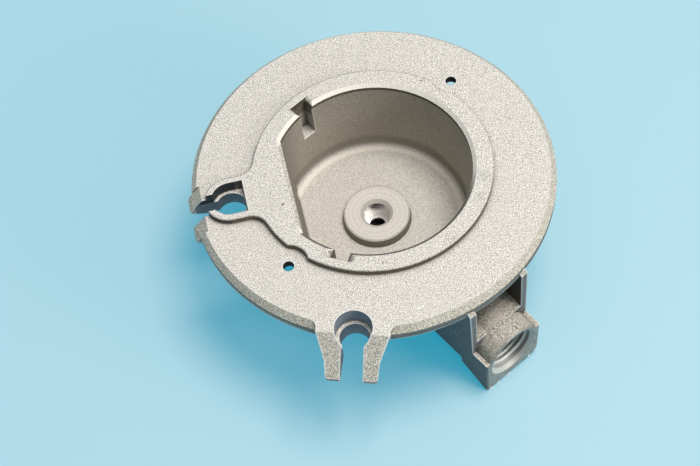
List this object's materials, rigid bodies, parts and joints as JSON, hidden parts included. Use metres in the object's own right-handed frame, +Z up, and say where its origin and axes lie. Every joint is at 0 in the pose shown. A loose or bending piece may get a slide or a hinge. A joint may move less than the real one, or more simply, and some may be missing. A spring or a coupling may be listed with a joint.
{
  "type": "gas injector holder",
  "caption": "Cast aluminium gas burner base: round flange, flat-sided cup with an injector boss, open side seats for spark electrode and flame probe, threaded gas inlet.",
  "frame": {"origin": "centre of the injector bore's mouth, on the top face of the boss inside the cup", "axes": "+Z up along the cup's axis; -X towards the spark electrode seat"},
  "size_m": [0.0959, 0.1028, 0.0387],
  "materials": {
    "cast_aluminium": "as-cast, fine blasted grain, machined at the threads"
  },
  "bodies": {
    "root": {"injector_holder": "cast_aluminium"}
  },
  "joints": []
}
